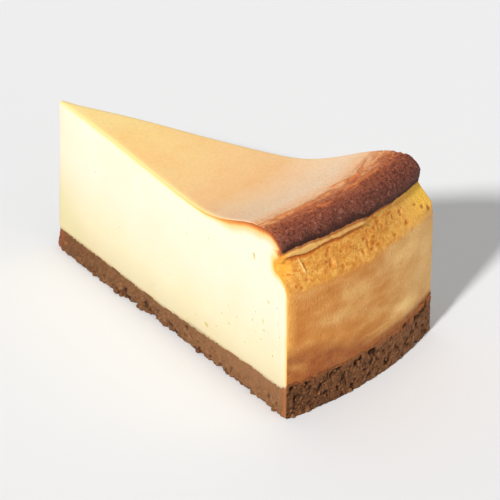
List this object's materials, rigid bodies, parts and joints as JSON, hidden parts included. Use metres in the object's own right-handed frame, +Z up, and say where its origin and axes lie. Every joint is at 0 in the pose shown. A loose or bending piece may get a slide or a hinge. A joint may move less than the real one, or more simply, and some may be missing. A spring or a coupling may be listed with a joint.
{
  "type": "baked cheesecake slice",
  "caption": "Wedge of baked cheesecake: smooth cream cheese filling with a browned top and raised rim, on a pressed biscuit crumb base.",
  "frame": {"origin": "centre of the slice's bounding box, on the plane it stands on", "axes": "the point of the slice towards -X, the baked outer wall towards +X, +Z up"},
  "size_m": [0.0998, 0.0558, 0.0469],
  "materials": {
    "cheese_filling": "soft satin cream, browned on top and round the outside",
    "biscuit_base": "dry grainy biscuit crumb"
  },
  "bodies": {
    "root": {"cheese_filling": "cheese_filling", "biscuit_base": "biscuit_base"}
  },
  "joints": []
}
